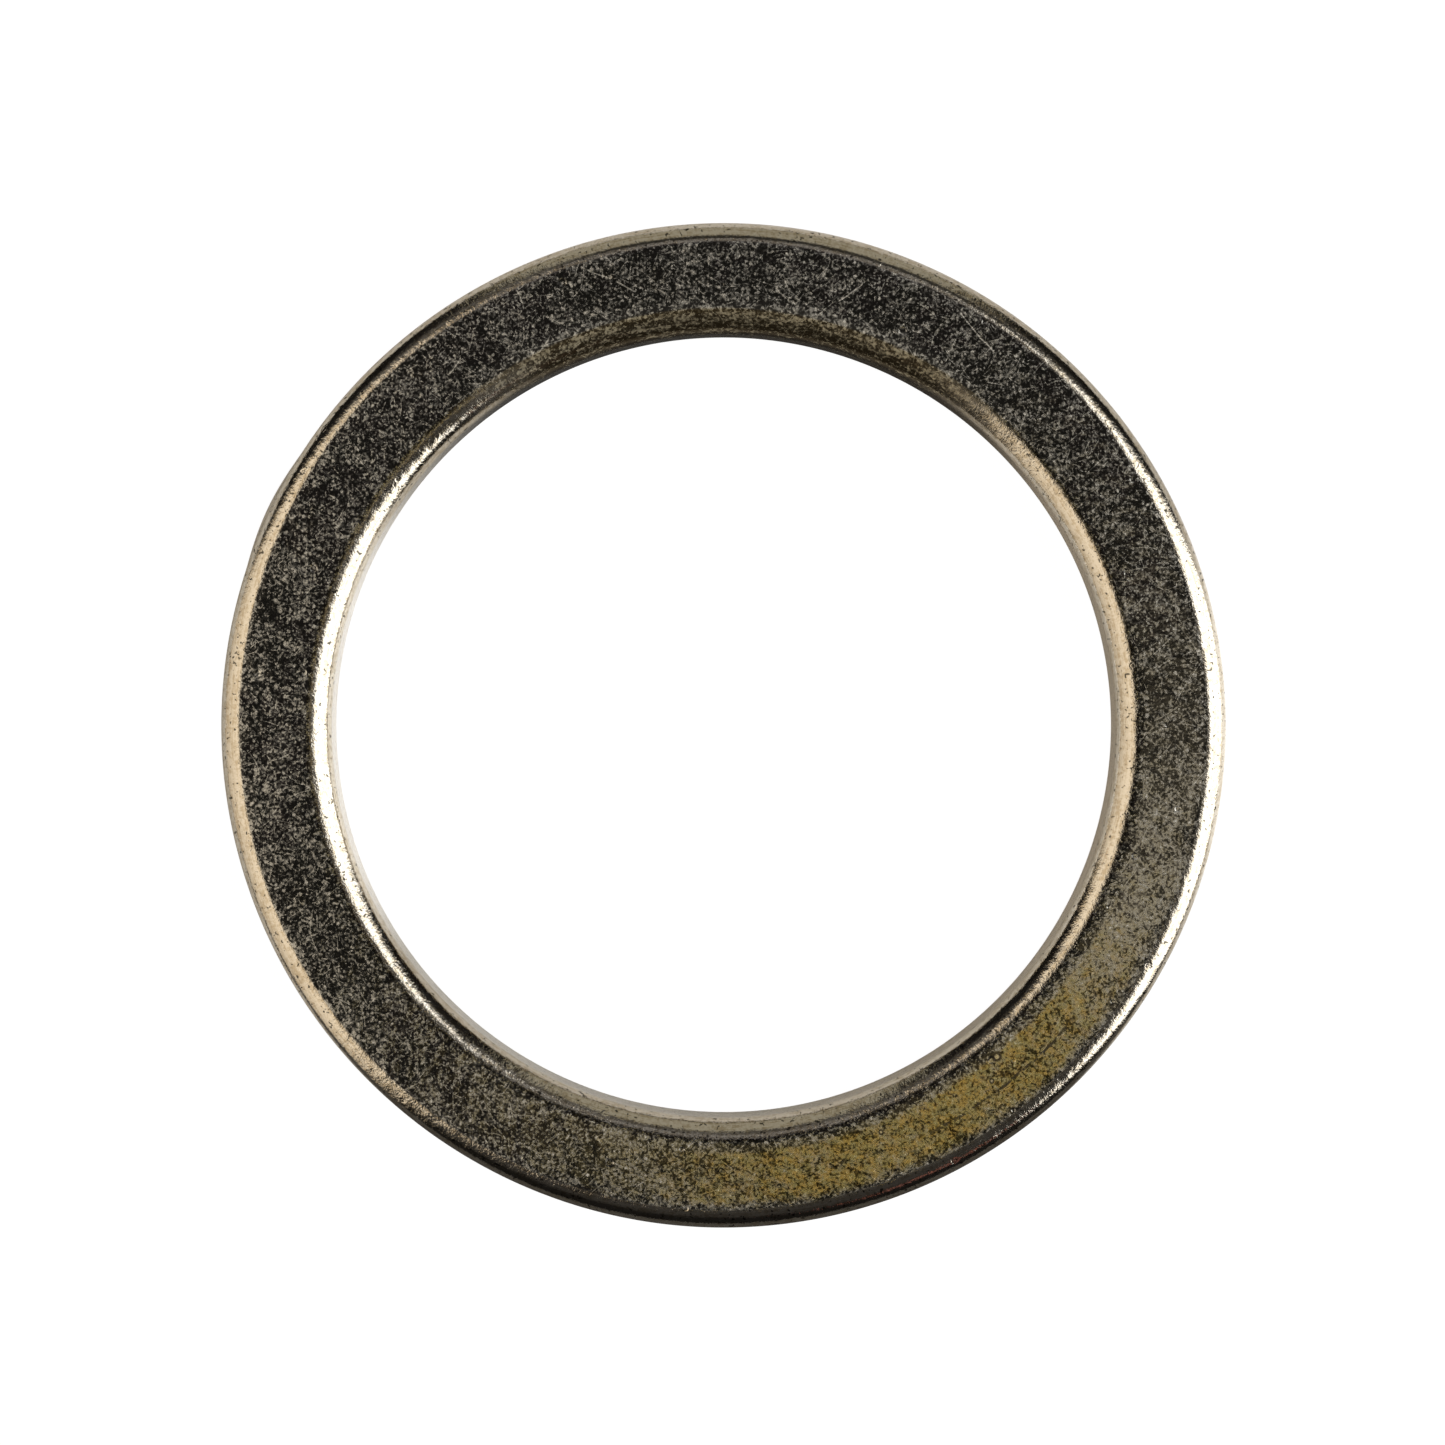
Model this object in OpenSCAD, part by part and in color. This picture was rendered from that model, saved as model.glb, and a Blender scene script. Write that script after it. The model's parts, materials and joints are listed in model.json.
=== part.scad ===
// Flat washer with a narrow rim: one solid ring of plated steel, stamped from plate and tumbled.
// Millimetres, +Z up. The origin is the bore's centre, on the face that the ring rests on.
// The press rolled the two upper edges over, so their radii are large. The two lower edges,
// where the metal broke away from the plate, are only blunted.

/* [Ring] */
// Diameter of the bore
bore_d = 20.2; // [18:0.1:22]
// Outside diameter
outer_d = 25.9; // [24.5:0.1:30]
// Thickness, from the lower face to the upper face
thickness = 2.0; // [1.2:0.1:3]

/* [Edges] */
// Radius of the rolled edge between the upper face and the bore
bore_edge_r = 0.48; // [0.2:0.02:0.6]
// Radius of the rolled edge between the upper face and the outside wall
outer_edge_r = 0.45; // [0.2:0.01:0.6]
// Radius of the two blunted edges around the lower face
lower_edge_r = 0.15; // [0.05:0.01:0.3]

/* [Hidden] */
$fn = 180;
bore_r = bore_d / 2;
outer_r = outer_d / 2;
// How far a cutting shape reaches past the metal
margin = 0.1;

// What is lost from a square corner when it is rounded to radius r. The corner is at the
// origin and the metal fills the first quadrant.
module corner_waste(r) {
    difference() {
        translate([-margin, -margin])
            square(r + margin);
        translate([r, r])
            circle(r);
    }
}

// One side of the ring's cross-section, with the bore's axis at X = 0
module cross_section() {
    difference() {
        translate([bore_r, 0])
            square([outer_r - bore_r, thickness]);
        translate([bore_r, 0])
            corner_waste(lower_edge_r);
        translate([outer_r, 0])
            mirror([1, 0])
                corner_waste(lower_edge_r);
        translate([bore_r, thickness])
            mirror([0, 1])
                corner_waste(bore_edge_r);
        translate([outer_r, thickness])
            rotate(180)
                corner_waste(outer_edge_r);
    }
}

module washer_ring() {
    color("dimgray")
        rotate_extrude()
            cross_section();
}

washer_ring();
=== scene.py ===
"""A plated steel flat washer on a plain pale floor, seen from straight above."""
import json
import math

import bpy
import numpy as np
from mathutils import Matrix, Vector


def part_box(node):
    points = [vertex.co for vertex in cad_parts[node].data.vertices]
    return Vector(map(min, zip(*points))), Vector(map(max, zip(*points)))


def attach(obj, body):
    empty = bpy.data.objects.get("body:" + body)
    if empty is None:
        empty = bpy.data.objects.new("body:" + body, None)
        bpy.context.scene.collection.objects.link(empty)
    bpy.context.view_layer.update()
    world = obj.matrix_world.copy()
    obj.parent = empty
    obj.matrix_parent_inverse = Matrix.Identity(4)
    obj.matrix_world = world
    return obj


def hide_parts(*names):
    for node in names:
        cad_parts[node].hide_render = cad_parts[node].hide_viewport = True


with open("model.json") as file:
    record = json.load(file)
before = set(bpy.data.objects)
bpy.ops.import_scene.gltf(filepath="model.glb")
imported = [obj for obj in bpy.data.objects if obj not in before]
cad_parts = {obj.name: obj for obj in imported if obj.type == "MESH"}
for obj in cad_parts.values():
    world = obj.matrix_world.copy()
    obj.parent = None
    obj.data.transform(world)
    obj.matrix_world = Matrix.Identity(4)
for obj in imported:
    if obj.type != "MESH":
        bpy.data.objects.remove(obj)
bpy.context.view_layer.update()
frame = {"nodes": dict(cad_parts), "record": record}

MM = 0.001
NODE = "washer_ring"

# ---------------------------------------------------------------- sizes from the frame

low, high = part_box(NODE)
THICKNESS = high.z - low.z
OUTER_R = min(high.x, high.y)
BORE_R = frame["record"]["mounts"][0]["dims"]["r_mm"] * MM


def flat_band(z):
    """The smallest and largest radius of the CAD ring's flat face at height z."""
    radii = [
        math.hypot(v.co.x, v.co.y)
        for v in frame["nodes"][NODE].data.vertices
        if abs(v.co.z - z) < 1e-6
    ]
    return min(radii), max(radii)


UPPER_IN, UPPER_OUT = flat_band(high.z)
LOWER_IN = flat_band(low.z)[0]
BORE_EDGE = UPPER_IN - BORE_R
OUTER_EDGE = high.x - UPPER_OUT
LOWER_EDGE = LOWER_IN - BORE_R

# ---------------------------------------------------------------- the ring's mesh

TURNS = 880  # steps round the ring
FACE_STEPS = 24
ROLL_STEPS = 18
WALL_STEPS = 14
LOWER_STEPS = 12
CORNER_STEPS = 6

CROWN = 0.0030 * MM  # how far the upper face falls away toward its borders
CROWN_POWER = 6
HALF_FACE = 0.5 * (UPPER_OUT - UPPER_IN) - 0.2 * MM  # what the two rolls leave flat
BORDER_SLOPE = CROWN_POWER * CROWN / HALF_FACE
OUTER_EASE = 1.35  # how softly each roll starts
BORE_EASE = 1.6

LIP = 0.10 * MM  # a ridge that the press left on the outside wall, over a short stretch
LIP_DEGREES = 154.5
LIP_HALF_WIDTH = 11.0


def roll(steps, ease, start):
    """A rolled edge from the given starting slope at (0, 0) to upright at (1, -drop).

    Its slope grows as a power of the distance along it, so ease above 1 gives a soft start.
    """
    fine = np.linspace(0.0, 1.0, 400)
    slope = start + (0.5 * math.pi - start) * fine**ease
    out = np.concatenate([[0.0], np.cumsum(np.cos(slope[1:]) + np.cos(slope[:-1]))])
    down = np.concatenate([[0.0], np.cumsum(np.sin(slope[1:]) + np.sin(slope[:-1]))])
    at = np.linspace(0.0, 1.0, steps + 1)
    return np.interp(at, fine, out) / out[-1], -np.interp(at, fine, down) / out[-1]


def wander(turn, seed, waves, first=1):
    """A smooth closed curve round the ring, about -1 to 1, made of a few sine waves."""
    rng = np.random.default_rng(seed)
    total = np.zeros_like(turn)
    for k in range(first, first + waves):
        total += rng.uniform(0.3, 1.0) * np.sin(k * turn + rng.uniform(0, 2 * math.pi))
    return total / np.abs(total).max()


def hump(turn, middle, half_width):
    """A smooth bump over part of the turn, 1 at its middle, both angles in degrees."""
    away = (np.degrees(turn) - middle + 180.0) % 360.0 - 180.0
    return np.cos(0.5 * math.pi * np.clip(away / half_width, -1.0, 1.0)) ** 2


def shares(steps):
    """The places that divide a stretch into equal steps, without its two ends."""
    return np.linspace(0.0, 1.0, steps + 1)[1:-1]


def ring_rows(turn):
    """The cross-section as rows of (radius, height), each an array over the turn angle."""
    one = np.ones_like(turn)
    out, fall = roll(ROLL_STEPS, OUTER_EASE, BORDER_SLOPE)
    back, dip = roll(ROLL_STEPS, BORE_EASE, BORDER_SLOPE)
    outer_reach = OUTER_EDGE * (1.215 + 0.04 * np.cos(turn) + 0.04 * wander(turn, 5, 9))
    inner_reach = BORE_EDGE * (1.43 - 0.07 * np.cos(turn + 0.44) + 0.06 * wander(turn, 3, 9))
    border = THICKNESS - CROWN
    face_in = BORE_R + inner_reach
    face_out = OUTER_R * one - outer_reach
    foot = OUTER_R * one - LOWER_EDGE
    lip = LIP * hump(turn, LIP_DEGREES, LIP_HALF_WIDTH)
    quarter = np.linspace(0.0, 0.5 * math.pi, CORNER_STEPS + 1)
    rows = []
    # upper face
    for f in shares(FACE_STEPS):
        height = THICKNESS - CROWN * (2 * f - 1) ** CROWN_POWER
        rows.append((face_in + (face_out - face_in) * f, height * one))
    # outer rolled edge
    for a, b in zip(out, fall):
        rows.append((face_out + outer_reach * a, border + outer_reach * b))
    # outside wall, on which the lip rises from the rolled edge downward
    top = border + outer_reach * fall[-1]
    for f in shares(WALL_STEPS):
        rise = math.sin(math.pi * min(2.5 * f, 0.5))
        rows.append((OUTER_R * one + lip * rise, top + (LOWER_EDGE - top) * f))
    # outer lower edge
    for a in quarter:
        height = LOWER_EDGE - LOWER_EDGE * math.sin(a)
        rows.append((foot + (LOWER_EDGE + lip) * math.cos(a), height * one))
    # lower face
    for f in shares(LOWER_STEPS):
        rows.append((foot + (LOWER_IN - foot) * f, 0 * one))
    # inner lower edge
    for a in quarter[::-1]:
        height = LOWER_EDGE - LOWER_EDGE * math.sin(a)
        rows.append(((LOWER_IN - LOWER_EDGE * math.cos(a)) * one, height * one))
    # bore wall
    top = border + inner_reach * dip[-1]
    for f in shares(WALL_STEPS):
        rows.append((BORE_R * one, LOWER_EDGE + (top - LOWER_EDGE) * f))
    # inner rolled edge
    for a, b in zip(back[::-1], dip[::-1]):
        rows.append((face_in - inner_reach * a, border + inner_reach * b))
    return rows


def build_ring():
    """The ring's mesh: its cross-section carried once round the axis and closed on itself."""
    turn = np.linspace(0.0, 2 * math.pi, TURNS, endpoint=False)
    rows = ring_rows(turn)
    count = len(rows)
    radius = np.stack([r for r, _ in rows])
    height = np.stack([z for _, z in rows])
    points = np.stack([radius * np.cos(turn), radius * np.sin(turn), height], -1)
    a = np.arange(count * TURNS).reshape(count, TURNS)
    b = np.roll(a, -1, 0)
    faces = np.stack([a, b, np.roll(b, -1, 1), np.roll(a, -1, 1)], -1).reshape(-1, 4)
    mesh = bpy.data.meshes.new("washer")
    mesh.from_pydata(points.reshape(-1, 3).tolist(), [], faces.tolist())
    mesh.validate()
    mesh.shade_smooth()
    ring = bpy.data.objects.new("washer", mesh)
    bpy.context.scene.collection.objects.link(ring)
    return ring


# ---------------------------------------------------------------- node helpers


def add(tree, kind, inputs=None, **settings):
    """Adds a node, sets its properties, then fills its inputs with values or links."""
    made = tree.nodes.new(kind)
    for name, value in settings.items():
        setattr(made, name, value)
    for key, value in (inputs or {}).items():
        if isinstance(value, bpy.types.NodeSocket):
            tree.links.new(value, made.inputs[key])
        else:
            made.inputs[key].default_value = value
    return made


def maths(tree, operation, a, b=0.0):
    """The result of one operation on one or two values."""
    return add(tree, "ShaderNodeMath", {0: a, 1: b}, operation=operation).outputs[0]


def total(tree, *parts):
    """The sum of any number of values."""
    added = parts[0]
    for part in parts[1:]:
        added = maths(tree, "ADD", added, part)
    return added


def times(tree, *parts):
    """The product of any number of values."""
    product = parts[0]
    for part in parts[1:]:
        product = maths(tree, "MULTIPLY", product, part)
    return product


def minus(tree, a, b):
    """What is left of a after b is taken away."""
    return maths(tree, "SUBTRACT", a, b)


def ramp(tree, value, start, end, low=0.0, high=1.0):
    """Eases from low to high as value goes from start to end."""
    return add(
        tree,
        "ShaderNodeMapRange",
        {"Value": value, "From Min": start, "From Max": end, "To Min": low, "To Max": high},
        interpolation_type="SMOOTHSTEP",
    ).outputs["Result"]


def noise(tree, point, scale, detail=2.0, roughness=0.5, distortion=0.0):
    """A cloudy level round 0.5, with about as many features per unit as the scale says."""
    return add(
        tree,
        "ShaderNodeTexNoise",
        {
            "Vector": point,
            "Scale": scale,
            "Detail": detail,
            "Roughness": roughness,
            "Distortion": distortion,
        },
    ).outputs["Fac"]


def vector(tree, operation, inputs):
    """The node of one operation on places or directions."""
    return add(tree, "ShaderNodeVectorMath", inputs, operation=operation)


def turned_by(tree, flat_point, angle):
    """The same place in a pattern that is turned about the ring's axis."""
    return add(
        tree,
        "ShaderNodeVectorRotate",
        {"Vector": flat_point, "Angle": angle},
        rotation_type="Z_AXIS",
    ).outputs["Vector"]


def cells(tree, flat_point, per_mm):
    """A loose grid of cells, and three random levels for each cell."""
    cell = add(
        tree,
        "ShaderNodeTexVoronoi",
        {"Vector": flat_point, "Scale": per_mm},
        voronoi_dimensions="2D",
    ).outputs
    return cell, add(tree, "ShaderNodeSeparateColor", {"Color": cell["Color"]}).outputs


def mix_level(tree, factor, a, b):
    """The value a where the factor is 0, and b where it is 1."""
    return add(tree, "ShaderNodeMix", {"Factor": factor, "A": a, "B": b}).outputs["Result"]


def multiply(tree, a, b):
    """The product of two colours."""
    return mix(tree, 1.0, a, b, "MULTIPLY")


def mix(tree, factor, a, b, how="MIX"):
    """The colour a where the factor is 0, and b where it is 1."""
    made = add(tree, "ShaderNodeMix", {"Factor": factor}, data_type="RGBA", blend_type=how)
    for key, value in (("A", a), ("B", b)):
        socket = next(s for s in made.inputs if s.name == key and s.type == "RGBA")
        if isinstance(value, bpy.types.NodeSocket):
            tree.links.new(value, socket)
        else:
            socket.default_value = (*value, 1.0)
    return next(s for s in made.outputs if s.type == "RGBA")


def plane_point(tree, x, y):
    """A place on the plane of the lower face."""
    return add(tree, "ShaderNodeCombineXYZ", {"X": x, "Y": y}).outputs[0]


def toward(tree, split, radius, degrees):
    """1 on the side of the ring that faces the given direction, -1 on the opposite side."""
    angle = math.radians(degrees)
    across = times(tree, split["X"], math.cos(angle))
    along = times(tree, split["Y"], math.sin(angle))
    return maths(tree, "DIVIDE", total(tree, across, along), radius)


# ---------------------------------------------------------------- patterns

# the steel's patterns measure in millimetres, from the bore's centre on the lower face
THICK = THICKNESS / MM
HALF_WAY_UP = 0.5 * THICK
BORE = BORE_R / MM
RIM_MIDDLE = 0.5 * (OUTER_R + BORE_R) / MM
UPPER_SHIFT = 14.0  # how far the upper half's pattern is moved, so that the faces differ


def grain(tree, point, layers):
    """A sum of noises, each given as (weight, features per millimetre, detail, distortion).

    Each layer is turned by its own angle, so that no grid shows.
    """
    parts = []
    for i, (weight, scale, detail, distortion) in enumerate(layers):
        level = noise(tree, turned_by(tree, point, 0.6 + 0.9 * i), scale, detail, 0.8, distortion)
        parts.append(times(tree, minus(tree, level, 0.5), weight))
    return total(tree, *parts)


def stroke(tree, local, width, curve):
    """A line along the X axis that bends by the given curve, and how far along it a place is."""
    along = add(tree, "ShaderNodeSeparateXYZ", {0: local}).outputs
    squared = times(tree, along["X"], along["X"])
    aside = maths(tree, "ABSOLUTE", total(tree, along["Y"], times(tree, squared, curve)))
    return ramp(tree, aside, width, 0.4 * width), along["X"], squared


def scratches(tree, flat_point, per_mm, length, width, share):
    """Hair scratches in a share of the cells of a loose grid, each turned and bent its own way."""
    cell, dice = cells(tree, flat_point, per_mm)
    local = vector(tree, "SUBTRACT", {0: flat_point, 1: cell["Position"]}).outputs["Vector"]
    local = turned_by(tree, local, times(tree, dice["Red"], 2 * math.pi))
    line, _, squared = stroke(tree, local, width, minus(tree, dice["Green"], 0.5))
    ends = ramp(tree, squared, length * length, 0.2 * length * length)
    chosen = maths(tree, "LESS_THAN", dice["Blue"], share)
    return times(tree, line, ends, chosen)


def dots(tree, flat_point, per_mm, size, share):
    """Small round spots in a share of the cells of a loose grid, each of its own size."""
    cell, dice = cells(tree, flat_point, per_mm)
    away = times(tree, cell["Distance"], 1.0 / per_mm)
    reach = times(tree, total(tree, dice["Red"], 0.4), size)
    inside = ramp(tree, maths(tree, "DIVIDE", away, reach), 1.0, 0.5)
    return times(tree, inside, maths(tree, "LESS_THAN", dice["Green"], share))


def peppered(tree, flat_point, per_mm, rarity):
    """A speck in every cell of a loose grid; the higher the rarity, the fewer are strong."""
    cell, dice = cells(tree, flat_point, per_mm)
    spot = ramp(tree, cell["Distance"], 0.62, 0.18)
    return times(tree, spot, maths(tree, "POWER", dice["Red"], rarity))


def stir(tree, flat_point, scale, amount):
    """The same place moved a little by noise, so that round spots come out uneven."""
    swirl = add(tree, "ShaderNodeTexNoise", {"Vector": flat_point, "Scale": scale, "Detail": 1.0})
    centred = vector(tree, "SUBTRACT", {0: swirl.outputs["Color"], 1: (0.5, 0.5, 0.5)})
    reach = {0: centred.outputs["Vector"], 1: (amount, amount, 0.0), 2: flat_point}
    return vector(tree, "MULTIPLY_ADD", reach).outputs["Vector"]


def unrolled(tree, split, radius, depth):
    """The place on the face plane, with the rolled edges and walls laid out flat beside it."""
    side = maths(tree, "SIGN", minus(tree, radius, RIM_MIDDLE))
    stretch = maths(tree, "DIVIDE", total(tree, radius, times(tree, side, depth)), radius)
    upper = maths(tree, "GREATER_THAN", split["Z"], HALF_WAY_UP)
    across = total(tree, times(tree, split["X"], stretch), times(tree, upper, UPPER_SHIFT))
    return plane_point(tree, across, times(tree, split["Y"], stretch))


def around(tree, split, radius, along, across):
    """A place for noise drawn out round the ring: features per millimetre along and across it."""
    aside = maths(tree, "ABSOLUTE", minus(tree, radius, RIM_MIDDLE))
    aside = minus(tree, aside, split["Z"])
    return add(
        tree,
        "ShaderNodeCombineXYZ",
        {
            "X": times(tree, split["X"], along),
            "Y": times(tree, split["Y"], along),
            "Z": times(tree, aside, across),
        },
    ).outputs[0]


# ---------------------------------------------------------------- marks on the faces

# places are given as a radius in millimetres and a direction in degrees, from +X toward +Y

# hair scratches: cells per millimetre, length, width, share of the cells
HAIR = [
    (0.36, 1.0, 0.017, 0.5),
    (1.1, 0.42, 0.018, 0.5),
    (1.9, 0.24, 0.016, 0.45),
    (3.1, 0.14, 0.016, 0.4),
    (6.0, 0.08, 0.014, 0.6),
]
# scratches that stand out: start and end as (radius, degrees), width
SCRATCHES = [
    ((11.79, 53.8), (12.26, 61.0), 0.024),
    ((11.33, 101.2), (11.79, 103.8), 0.028),
    ((11.79, 103.8), (12.26, 107.0), 0.024),
    ((11.95, 72.3), (11.25, 75.0), 0.020),
]
SCRATCH_CURVE = 0.08
# pits that stand out: radius, degrees, size
PITS = [
    (11.19, 291.2, 0.09),
    (11.43, 307.1, 0.09),
    (11.02, 309.6, 0.16),
]
TOOL_LINE_R = 11.78
TOOL_LINE_DEGREES = 308.0  # the middle of the broken line
HAZE_DEGREES = 130.0

# the level of the dullness between the marks, and how far each kind of mark raises it
UNTOUCHED = -1.62
FINE_WEIGHT = 3.9
COARSE_WEIGHT = 3.4
SPARK_WEIGHT = 4.0
SMEAR_WEIGHT = 1.9
HAIR_WEIGHT = 2.8
SPECK_WEIGHT = 2.2
PLACED_WEIGHT = 4.5


def capsule(tree, flat_point, start, end, width):
    """1 along a stroke between two places given as (radius, degrees), 0 away from it."""
    (x0, y0), (x1, y1) = (
        (r * math.cos(math.radians(d)), r * math.sin(math.radians(d))) for r, d in (start, end)
    )
    length = math.hypot(x1 - x0, y1 - y0)
    middle = (0.5 * (x0 + x1), 0.5 * (y0 + y1), 0.0)
    local = vector(tree, "SUBTRACT", {0: flat_point, 1: middle}).outputs["Vector"]
    local = turned_by(tree, local, -math.atan2(y1 - y0, x1 - x0))
    line, along, _ = stroke(tree, local, width, SCRATCH_CURVE)
    return times(tree, line, ramp(tree, maths(tree, "ABSOLUTE", along), 0.5 * length, 0.35 * length))


def placed_marks(tree, place):
    """The few scratches on the upper face that stand out."""
    shift = (UPPER_SHIFT, 0.0, 0.0)
    shifted = vector(tree, "SUBTRACT", {0: place, 1: shift}).outputs["Vector"]
    shifted = stir(tree, shifted, 3.0, 0.06)
    marks = 0.0
    for start, end, width in SCRATCHES:
        marks = maths(tree, "MAXIMUM", marks, capsule(tree, shifted, start, end, width))
    return marks


def pit_spots(tree, point, share):
    """The few pits that stand out on the upper face, drawn at a share of their size."""
    spots = 0.0
    for radius, degrees, size in PITS:
        angle = math.radians(degrees)
        middle = (radius * math.cos(angle), radius * math.sin(angle), THICK)
        away = vector(tree, "DISTANCE", {0: point, 1: middle}).outputs["Value"]
        spot = ramp(tree, away, size * share, 0.6 * size * share)
        spots = maths(tree, "MAXIMUM", spots, spot)
    return spots


def tool_line(tree, point, split, radius):
    """A broken dark line along part of the ring, and dark pits, on the upper face."""
    wavy = total(tree, radius, times(tree, noise(tree, point, 1.5), 0.12), -TOOL_LINE_R)
    line = ramp(tree, maths(tree, "ABSOLUTE", wavy), 0.05, 0.02)
    broken = ramp(tree, noise(tree, point, 4.5, 2.0, 0.7), 0.44, 0.52)
    side = ramp(tree, toward(tree, split, radius, TOOL_LINE_DEGREES), 0.970, 0.990)
    upper = maths(tree, "GREATER_THAN", split["Z"], HALF_WAY_UP)
    marks = times(tree, line, broken, side, upper)
    return maths(tree, "MAXIMUM", marks, pit_spots(tree, point, 1.0))


def haze_mask(tree, split, radius):
    """Where the inner border of the face was rubbed dull, on the -X and +Y side."""
    border = ramp(tree, radius, BORE + 1.1, BORE + 0.6)
    worn = ramp(tree, toward(tree, split, radius, HAZE_DEGREES), 0.0, 0.6)
    return times(tree, border, worn)


def dullness(tree, place, split, radius):
    """How dull each spot of a face is, from its specks, flecks, smears, scratches and haze."""
    stirred = stir(tree, place, 9.0, 0.10)
    fine = peppered(tree, stirred, 16.0, 1.8)
    coarse = peppered(tree, stirred, 8.0, 3.5)
    sparks = peppered(tree, stirred, 10.0, 6.0)
    crowd = ramp(tree, noise(tree, place, 1.1, 3.0, 0.65), 0.30, 0.72, -0.9, 1.1)
    flecks = grain(tree, place, [(6.0, 13.0, 0.0, 0.5), (5.5, 4.8, 2.0, 0.3)])
    smear = ramp(tree, noise(tree, place, 2.4, 3.0, 0.75, 0.4), 0.58, 0.70)
    smear = times(tree, smear, total(tree, 0.5, fine))
    hair = 0.0
    for per_mm, length, width, share in HAIR:
        layer = scratches(tree, place, per_mm, length, width, share)
        hair = maths(tree, "MAXIMUM", hair, layer)
    specks = dots(tree, place, 3.0, 0.055, 0.25)
    smudge = ramp(tree, noise(tree, place, 5.0, 3.0, 0.75, 0.4), 0.42, 0.62, -1.0, 1.5)
    return total(
        tree,
        UNTOUCHED,
        times(tree, fine, FINE_WEIGHT),
        times(tree, coarse, COARSE_WEIGHT),
        times(tree, sparks, SPARK_WEIGHT),
        crowd,
        flecks,
        times(tree, smear, SMEAR_WEIGHT),
        times(tree, hair, HAIR_WEIGHT),
        times(tree, specks, SPECK_WEIGHT),
        times(tree, haze_mask(tree, split, radius), smudge),
        times(tree, placed_marks(tree, place), PLACED_WEIGHT),
    )


# ---------------------------------------------------------------- the metal

# colours of the metal and its marks; a tint multiplies what lies under it, and the olive and gold
# tints are painted reflection
NICKEL = (0.68, 0.63, 0.54)
SMOKY = (0.50, 0.43, 0.32)
FLECK = (0.66, 0.64, 0.58)
TARNISH = (0.060, 0.057, 0.051)
PIT = (0.10, 0.09, 0.07)
CLEAR = (1.0, 1.0, 1.0)
OLIVE_REFLECTION = (0.92, 0.85, 0.47)
GOLD_REFLECTION = (1.10, 0.86, 0.36)
WORN_BROWN = (0.060, 0.045, 0.024)
WORN_TAN = (0.46, 0.41, 0.29)

FACE_ROUGH = 0.131  # the face's roughness at a dullness of 0
ROUGHER = 1.20  # what each 1 of dullness multiplies it by
EDGE_ROUGH = 0.12
BROWN_ROUGH = 0.22
TAN_ROUGH = 0.40
FACE_FILM = 0.15  # how much of each surface is a dull film in place of metal
STAIN_FILM = 0.25
BUMP_DEPTH = 0.006 * MM

# the direction of the middle of each patch
# the lighter flecks toward the first and third direction, and the tint toward the second, are
# painted reflection
PAINTED_LIFT_DEGREES = 306.0
YELLOW_REFLECTION_DEGREES = 297.0
PAINTED_SIDE_LIFT_DEGREES = 238.0
STAIN_DEGREES = 88.0
SEAM_DEGREES = 78.0

SEAM_R = 12.61
YELLOW_REFLECTION_END = 12.15  # from here outward the painted yellow reflection fades off the face

# slopes, in radians, at which a face passes into its rolled edges
FLAT_BELOW = math.radians(2.2)
ROLLED_ABOVE = math.radians(4.6)
TARNISHED_BELOW = math.radians(5.0)
CLEAN_ABOVE = math.radians(8.5)


def borders_without_reflection(tree, radius):
    """Near 1 along the face's borders, which get less of the painted reflection: they are darker and
    have no olive tint.
    """
    outer = ramp(tree, radius, YELLOW_REFLECTION_END, YELLOW_REFLECTION_END + 0.35, 0.0, 0.8)
    return maths(tree, "MAXIMUM", outer, ramp(tree, radius, BORE + 0.95, BORE + 0.70))


def face_colour(tree, point, place, split, radius, dull):
    """The two faces: dark tarnish under bright flecks, and on one side a painted reflection that
    lightens the flecks and tints the face olive.
    """
    border_band = borders_without_reflection(tree, radius)
    # painted reflection: the flecks are lighter on the side toward 306 degrees, and a little on the
    # side toward 238
    painted_lift = ramp(tree, toward(tree, split, radius, PAINTED_LIFT_DEGREES), 0.55, 0.92)
    painted_lift = times(tree, painted_lift, minus(tree, 1.5, times(tree, border_band, 1.3)))
    painted_side_lift = ramp(tree, toward(tree, split, radius, PAINTED_SIDE_LIFT_DEGREES), 0.80, 0.98, 0.0, 0.4)
    bright = ramp(tree, total(tree, dull, total(tree, painted_lift, painted_side_lift)), -1.9, 2.6)
    colour = mix(tree, maths(tree, "POWER", bright, 1.4), TARNISH, FLECK)

    # painted reflection: an olive and gold tint in patches on the side toward 297 degrees, none on
    # the borders
    patches = grain(tree, place, [(2.2, 3.4, 3.0, 0.5), (1.6, 0.5, 1.0, 0.0)])
    yellow_side = ramp(tree, toward(tree, split, radius, YELLOW_REFLECTION_DEGREES), 0.66, 0.96)
    yellow_reflection = total(tree, times(tree, patches, 0.8), yellow_side, -0.20, times(tree, border_band, -1.0))
    yellow_reflection = ramp(tree, yellow_reflection, 0.0, 1.0)
    hue = ramp(tree, noise(tree, place, 4.0, 2.0, 0.7), 0.42, 0.60)
    tint = mix(tree, yellow_reflection, CLEAR, mix(tree, hue, OLIVE_REFLECTION, GOLD_REFLECTION))
    colour = multiply(tree, colour, tint)

    colour = mix(tree, tool_line(tree, point, split, radius), colour, PIT)
    return mix(tree, pit_spots(tree, point, 0.45), colour, NICKEL)


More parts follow.
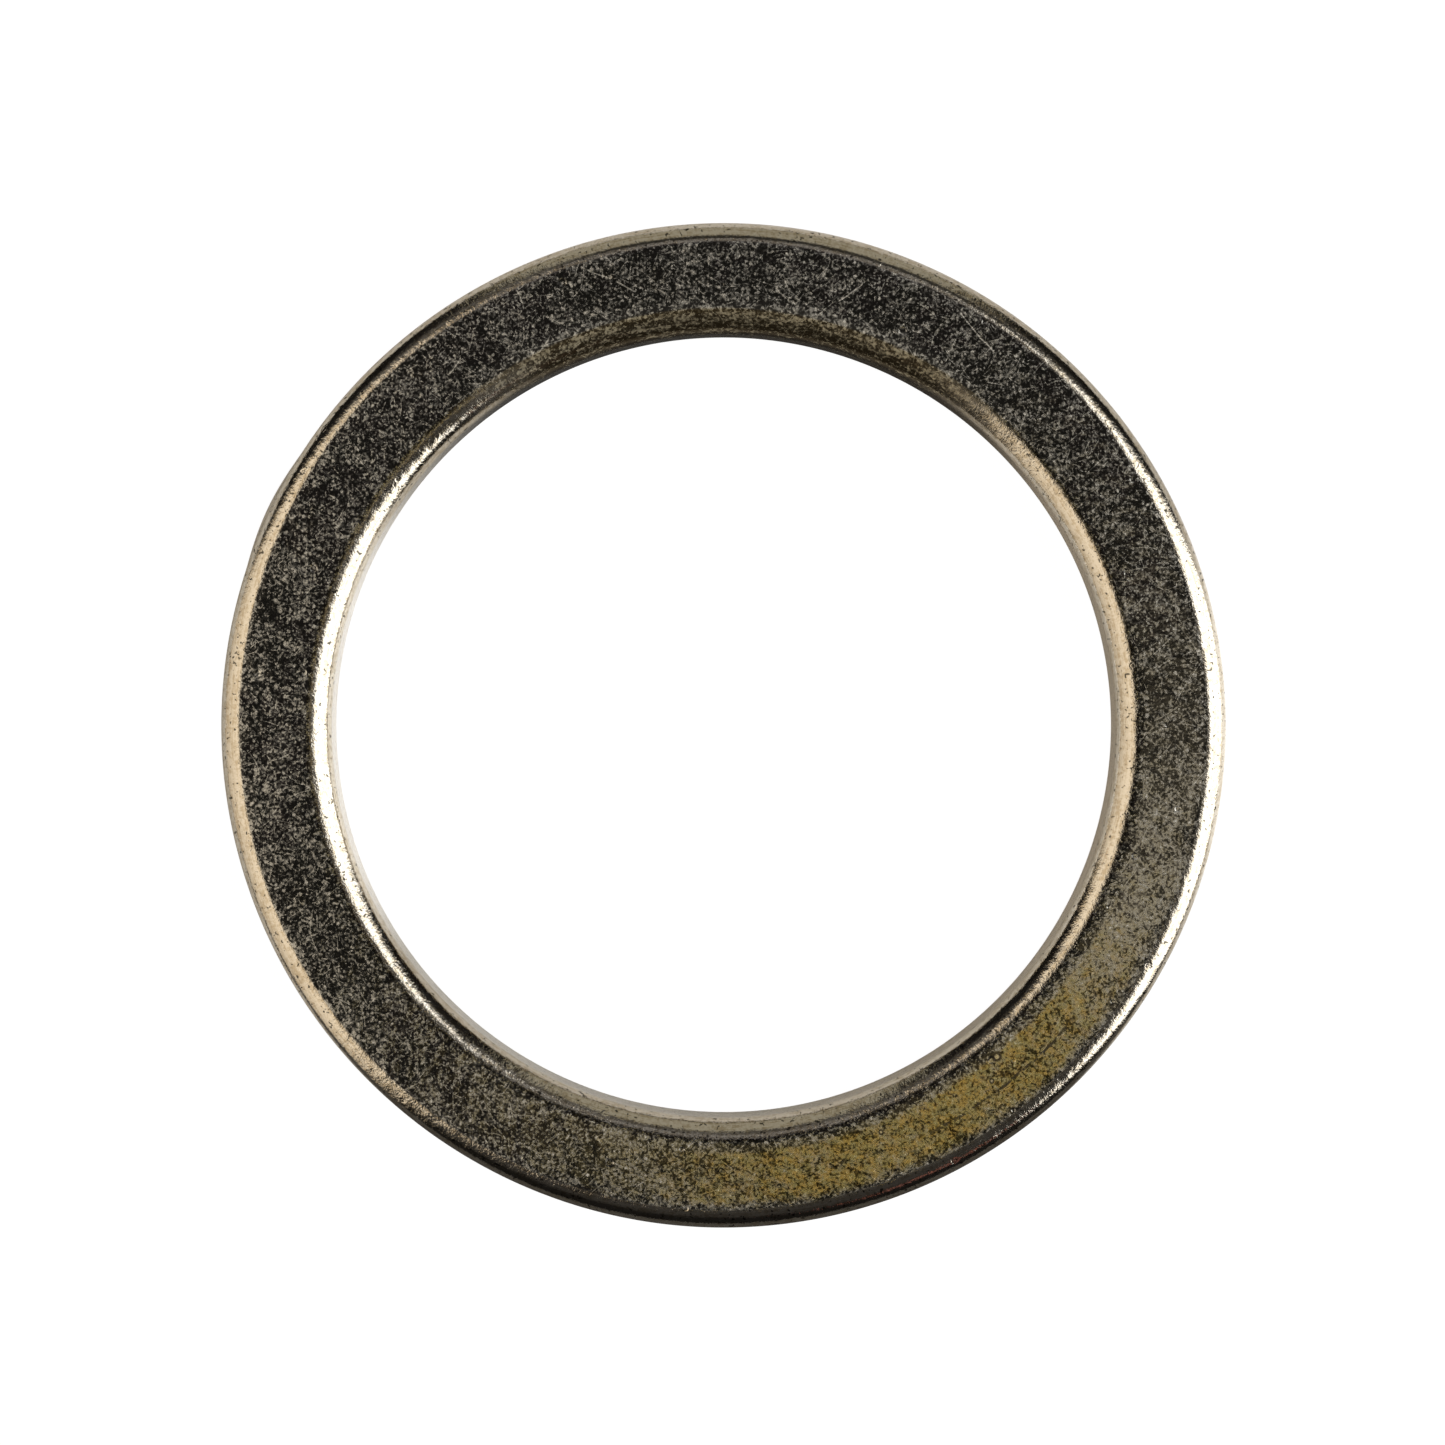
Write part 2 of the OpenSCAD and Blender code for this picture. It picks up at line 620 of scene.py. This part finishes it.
def edge_colour(tree, point, split, radius):
    """The rolled edges and the walls: fine lines round the ring, a few pits, one dark seam."""
    lines = noise(tree, around(tree, split, radius, 0.9, 14.0), 1.0, 3.0, 0.7)
    mottle = noise(tree, point, 8.0, 2.0, 0.7, 0.4)
    shade = total(tree, times(tree, lines, 0.6), times(tree, mottle, 0.6))
    colour = mix(tree, ramp(tree, shade, 0.46, 0.68), SMOKY, NICKEL)
    pits = ramp(tree, noise(tree, point, 10.0, 1.0, 0.5, 0.3), 0.65, 0.71)
    colour = mix(tree, pits, colour, PIT)
    wavy = total(tree, radius, times(tree, noise(tree, point, 5.0, 3.0, 0.8), 0.10), -SEAM_R)
    seam = ramp(tree, maths(tree, "ABSOLUTE", wavy), 0.045, 0.020)
    seam = times(tree, seam, ramp(tree, toward(tree, split, radius, SEAM_DEGREES), 0.83, 0.91))
    return mix(tree, times(tree, seam, 0.75), colour, PIT)


def stain_mask(tree, split, radius):
    """Where the rolled edge of the bore is worn and stained, on the +Y side."""
    return times(
        tree,
        ramp(tree, toward(tree, split, radius, STAIN_DEGREES), 0.70, 0.90),
        ramp(tree, radius, BORE + 1.05, BORE + 0.6),
        ramp(tree, split["Z"], THICK - 0.95, THICK - 0.70),
    )


def stain_clumps(tree, split, radius, dull):
    """The stain's pattern, from 0 for brown to 1 for tan, darker toward the bore."""
    lift = ramp(tree, radius, BORE + 0.10, BORE + 0.45, -1.3, 0.2)
    drawn = noise(tree, around(tree, split, radius, 2.4, 7.0), 1.0, 3.0, 0.75)
    drawn = times(tree, minus(tree, drawn, 0.5), 10.0)
    return ramp(tree, total(tree, times(tree, dull, 0.6), drawn, lift), -1.8, 3.0)


def surface_bump(tree, point, place, flat):
    """A slow swell, fine teeth that are calmer on the faces, and small dents."""
    swell = grain(tree, point, [(2.0, 2.0, 1.0, 0.0)])
    teeth = grain(tree, point, [(1.4, 11.0, 2.0, 0.3)])
    calm = ramp(tree, flat, 0.0, 1.0, 0.8, 0.30)
    dents = times(tree, dots(tree, place, 0.8, 0.10, 0.35), -0.8)
    waves = total(tree, swell, times(tree, teeth, calm), dents)
    bump = {"Strength": 1.0, "Distance": BUMP_DEPTH, "Height": waves}
    return add(tree, "ShaderNodeBump", bump).outputs["Normal"]


def plated_steel():
    """Tarnished, flecked faces between brighter rolled edges and walls."""
    material = bpy.data.materials.new("plated_steel")
    material.use_nodes = True
    tree = material.node_tree
    tree.nodes.clear()
    coordinates = add(tree, "ShaderNodeTexCoord")
    in_mm = {0: coordinates.outputs["Object"], 1: (1 / MM,) * 3}
    point = vector(tree, "MULTIPLY", in_mm).outputs["Vector"]
    split = add(tree, "ShaderNodeSeparateXYZ", {0: point}).outputs
    flat_point = plane_point(tree, split["X"], split["Y"])
    radius = vector(tree, "LENGTH", {0: flat_point}).outputs["Value"]
    tilt = add(tree, "ShaderNodeSeparateXYZ", {0: coordinates.outputs["Normal"]}).outputs["Z"]
    slope = maths(tree, "ARCCOSINE", maths(tree, "ABSOLUTE", tilt))
    flat = ramp(tree, slope, ROLLED_ABOVE, FLAT_BELOW)
    depth = maths(tree, "MINIMUM", split["Z"], minus(tree, THICK, split["Z"]))
    place = unrolled(tree, split, radius, depth)
    dull = dullness(tree, place, split, radius)
    face = face_colour(tree, point, place, split, radius, dull)

    stained = stain_mask(tree, split, radius)
    clumps = stain_clumps(tree, split, radius, dull)
    worn = mix(tree, clumps, WORN_BROWN, WORN_TAN)
    edge = mix(tree, stained, edge_colour(tree, point, split, radius), worn)

    rough_face = times(tree, maths(tree, "POWER", ROUGHER, dull), FACE_ROUGH)
    rough_worn = ramp(tree, clumps, 0.0, 1.0, BROWN_ROUGH, TAN_ROUGH)
    rough_edge = ramp(tree, stained, 0.0, 1.0, EDGE_ROUGH, rough_worn)
    rough = ramp(tree, flat, 0.0, 1.0, rough_edge, rough_face)

    # the face's tarnish reaches a little way over the start of the bore's rolled edge
    inner_half = maths(tree, "LESS_THAN", radius, RIM_MIDDLE)
    reach = ramp(tree, slope, CLEAN_ABOVE, TARNISHED_BELOW)
    tarnished = maths(tree, "MAXIMUM", flat, times(tree, inner_half, reach))
    tarnished = mix_level(tree, stained, tarnished, flat)
    colour = mix(tree, tarnished, edge, face)

    filmy = total(tree, times(tree, flat, FACE_FILM), times(tree, stained, STAIN_FILM))
    shader = add(
        tree,
        "ShaderNodeBsdfPrincipled",
        {
            "Base Color": colour,
            "Metallic": minus(tree, 1.0, filmy),
            "Roughness": rough,
            "Normal": surface_bump(tree, point, place, flat),
        },
    )
    out = add(tree, "ShaderNodeOutputMaterial")
    tree.links.new(shader.outputs[0], out.inputs["Surface"])
    return material


def glow(name, colour, strength, border, lean):
    """Light from a panel whose edges fade over a share of its width.

    Lean is what its last two corners give, next to the first two.
    """
    material = bpy.data.materials.new(name)
    material.use_nodes = True
    tree = material.node_tree
    tree.nodes.clear()
    place = add(tree, "ShaderNodeTexCoord").outputs["UV"]
    across = add(tree, "ShaderNodeSeparateXYZ", {0: place})
    level = ramp(tree, across.outputs["Y"], 0.0, 1.0, strength, strength * lean)
    for axis in ("X", "Y"):
        from_side = maths(tree, "PINGPONG", across.outputs[axis], 0.5)
        level = times(tree, ramp(tree, from_side, 0.0, border), level)
    light = add(tree, "ShaderNodeEmission", {"Color": (*colour, 1.0), "Strength": level})
    out = add(tree, "ShaderNodeOutputMaterial")
    tree.links.new(light.outputs[0], out.inputs["Surface"])
    return material


# ---------------------------------------------------------------- the studio

PANEL_STEPS = 4


def sheet(name, corners, material):
    """A staged four-cornered panel, in metres, as a grid with its own UVs."""
    p = [Vector(c) for c in corners]
    row = PANEL_STEPS + 1
    share = [i / PANEL_STEPS for i in range(row)]
    points = [p[0].lerp(p[1], u).lerp(p[3].lerp(p[2], u), v) for v in share for u in share]
    places = [(u, v) for v in share for u in share]
    first = [i for i in range(row * PANEL_STEPS) if i % row < PANEL_STEPS]
    faces = [(i, i + 1, i + 1 + row, i + row) for i in first]
    mesh = bpy.data.meshes.new(name)
    mesh.from_pydata([tuple(q) for q in points], [], faces)
    layer = mesh.uv_layers.new(name="panel")
    for loop in mesh.loops:
        layer.data[loop.index].uv = places[loop.vertex_index]
    mesh.materials.append(material)
    panel = bpy.data.objects.new(name, mesh)
    bpy.context.scene.collection.objects.link(panel)
    return panel


def paper(name, albedo, shine):
    """White paper: albedo is what it scatters and shine what it adds by itself."""
    material = bpy.data.materials.new(name)
    material.use_nodes = True
    shader = material.node_tree.nodes["Principled BSDF"]
    shader.inputs["Base Color"].default_value = (albedo, albedo, albedo, 1.0)
    shader.inputs["Roughness"].default_value = 1.0
    shader.inputs["Specular IOR Level"].default_value = 0.0
    shader.inputs["Emission Color"].default_value = (1.0, 1.0, 1.0, 1.0)
    shader.inputs["Emission Strength"].default_value = shine
    return material


FLOOR_REACH = 2.0  # from its middle to each side
FLOOR_GAP = 0.02 * MM  # how far the mirrored floor lies below the seen one
PLAIN_FLOOR = (0.9, 0.9, 0.9)
SHADED_FLOOR = (0.12, 0.12, 0.12)


def mirrored_floor(name):
    """The floor that the metal sees, with painted shade and painted glow close to the ring."""
    material = paper(name, PLAIN_FLOOR[0], 0.0)
    tree = material.node_tree
    place = add(tree, "ShaderNodeTexCoord").outputs["Object"]
    split = add(tree, "ShaderNodeSeparateXYZ", {0: place}).outputs
    away = vector(tree, "LENGTH", {0: place}).outputs["Value"]
    outside = maths(tree, "GREATER_THAN", away, 0.5 * (BORE_R + OUTER_R))
    inside = minus(tree, 1.0, outside)
    # painted shade: the floor is darker just behind each wall, standing in for light along the floor
    # from +Y that the ring blocks
    behind_bore_wall = ramp(tree, split["Y"], 0.5 * BORE_R, 0.85 * BORE_R)
    behind_outside = ramp(tree, split["Y"], -0.62 * OUTER_R, -0.88 * OUTER_R)
    shade = total(tree, times(tree, behind_bore_wall, inside), times(tree, behind_outside, outside))
    tone = mix(tree, shade, PLAIN_FLOOR, SHADED_FLOOR)
    # and painted light: the floor glows where each wall facing +X mirrors it, standing in for strong
    # light from +X
    lit_outside = times(
        tree,
        ramp(tree, split["X"], 0.70 * OUTER_R, 1.05 * OUTER_R, 0.0, 0.70),
        ramp(tree, split["Y"], -0.60 * OUTER_R, -0.15 * OUTER_R),
        ramp(tree, split["Y"], 0.60 * OUTER_R, 0.15 * OUTER_R),
        outside,
    )
    lit_bore = times(
        tree,
        ramp(tree, split["X"], -0.98 * BORE_R, -0.5 * BORE_R, 0.42, 0.70),
        ramp(tree, split["X"], -0.05 * BORE_R, -0.3 * BORE_R),
        ramp(tree, toward(tree, split, away, 180.0), 0.80, 0.97),
        inside,
    )
    shader = tree.nodes["Principled BSDF"]
    tree.links.new(tone, shader.inputs["Base Color"])
    tree.links.new(total(tree, lit_outside, lit_bore), shader.inputs["Emission Strength"])
    return material


def build_floor():
    """The overexposed sheet that the camera sees, and the one that the metal sees, lit by the panels
    and with painted shade and glow close to the ring.
    """
    signs = [(-1, -1), (1, -1), (1, 1), (-1, 1)]
    corners = [(x * FLOOR_REACH, y * FLOOR_REACH) for x, y in signs]
    white = paper("floor_seen", 0.13, 0.97)
    seen = sheet("floor_seen", [(x, y, 0.0) for x, y in corners], white)
    seen.visible_glossy = False
    seen.visible_diffuse = False
    seen.visible_shadow = False
    lit = mirrored_floor("floor_mirrored")
    mirrored = sheet("floor_mirrored", [(x, y, -FLOOR_GAP) for x, y in corners], lit)
    mirrored.visible_camera = False


# soft lights: name, corners in metres, colour, strength, border, lean
PANELS = [
    (
        "key_panel",
        [(0.17, 0.36, 1.0), (0.82, -1.06, 1.0), (1.85, -0.86, -0.2), (1.27, 0.40, -0.2)],
        (1.0, 0.99, 0.97),
        2.5,
        0.08,
        1.0,
    ),
    (
        "warm_panel",
        [(-0.15, 0.30, 1.0), (-0.15, -0.22, 1.0), (-1.1, -1.2, -0.05), (-1.6, 0.52, -0.05)],
        (1.0, 0.87, 0.70),
        1.25,
        0.08,
        0.55,
    ),
    (
        "far_panel",
        [(-0.27, 0.64, 1.0), (0.35, 0.64, 1.0), (0.9, 1.3, 0.0), (-0.80, 1.25, 0.0)],
        (1.0, 0.94, 0.77),
        0.38,
        0.08,
        1.0,
    ),
    (
        "far_ceiling",
        [(-0.34, 0.16, 1.0), (0.20, 0.16, 1.0), (0.42, 0.38, 1.0), (-0.42, 0.38, 1.0)],
        (1.0, 0.96, 0.95),
        0.27,
        0.15,
        1.0,
    ),
    (
        "olive_card",
        [(-0.042, -0.076, 0.5), (0.070, -0.072, 0.5), (0.052, -0.032, 0.5), (-0.020, -0.042, 0.5)],
        (1.0, 0.80, 0.36),
        0.62,
        0.15,
        1.0,
    ),
    (
        "brown_card",
        [(0.036, -0.062, 0.5), (0.082, -0.074, 0.5), (0.086, 0.014, 0.5), (0.040, 0.010, 0.5)],
        (1.0, 0.87, 0.64),
        0.62,
        0.2,
        1.0,
    ),
    (
        "red_card",
        [(0.154, -0.576, 0.5), (0.342, -0.488, 0.5), (0.425, -0.607, 0.5), (0.192, -0.716, 0.5)],
        (1.0, 0.40, 0.32),
        0.32,
        0.15,
        1.0,
    ),
]


def build_lights():
    """The panels, which the camera itself doesn't see."""
    for name, corners, colour, strength, border, lean in PANELS:
        panel = sheet(name, corners, glow(name, colour, strength, border, lean))
        panel.visible_camera = False
        panel.visible_shadow = False


CEILING = 0.085  # how brightly the room's ceiling and walls shine on the metal
WALLS = 0.011


def build_world():
    """White for the camera, and for the metal a dim ceiling above nearly black walls."""
    world = bpy.data.worlds.new("studio")
    world.use_nodes = True
    tree = world.node_tree
    tree.nodes.clear()
    seen = add(tree, "ShaderNodeLightPath").outputs["Is Camera Ray"]
    place = add(tree, "ShaderNodeTexCoord").outputs["Generated"]
    split = add(tree, "ShaderNodeSeparateXYZ", {0: place}).outputs
    overhead = ramp(tree, split["Z"], math.cos(math.radians(55)), math.cos(math.radians(35)))
    # the camera looks through a hole in the ceiling, which is darker on the -Y side
    hole = ramp(tree, split["Z"], math.cos(math.radians(8)), math.cos(math.radians(13)))
    shaded = ramp(tree, split["Y"], -0.40, 0.10, 0.35, 1.0)
    level = total(tree, times(tree, overhead, hole, shaded, CEILING), WALLS)
    room = add(tree, "ShaderNodeBackground", {"Color": (1.0, 0.95, 0.90, 1.0), "Strength": level})
    white = add(tree, "ShaderNodeBackground", {"Color": (1.0, 1.0, 1.0, 1.0), "Strength": 1.0})
    both = add(tree, "ShaderNodeMixShader", {0: seen, 1: room.outputs[0], 2: white.outputs[0]})
    out = add(tree, "ShaderNodeOutputWorld")
    tree.links.new(both.outputs[0], out.inputs["Surface"])
    bpy.context.scene.world = world


# ---------------------------------------------------------------- the camera

EYE = (0.0, 1.964 * MM, 120.0 * MM)
AIM = (-0.03 * MM, 0.094 * MM, 1.5 * MM)
SENSOR = 36.0  # these two in millimetres, as Blender's cameras have them
LENS = 114.5


def build_camera():
    """Nearly straight above the ring, with +Y up in the picture."""
    eye = Vector(EYE)
    data = bpy.data.cameras.new("camera")
    data.sensor_width = SENSOR
    data.lens = LENS
    data.clip_start = MM
    camera = bpy.data.objects.new("camera", data)
    back = (eye - Vector(AIM)).normalized()
    right = Vector((0.0, 1.0, 0.0)).cross(back).normalized()
    up = back.cross(right)
    camera.matrix_world = Matrix.Translation(eye) @ Matrix((right, up, back)).transposed().to_4x4()
    bpy.context.scene.collection.objects.link(camera)
    bpy.context.scene.camera = camera


# ---------------------------------------------------------------- the scene

bpy.context.scene.view_settings.view_transform = "Standard"
washer = build_ring()
washer.data.materials.append(plated_steel())
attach(washer, "root")
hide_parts(NODE)
build_floor()
build_lights()
build_world()
build_camera()
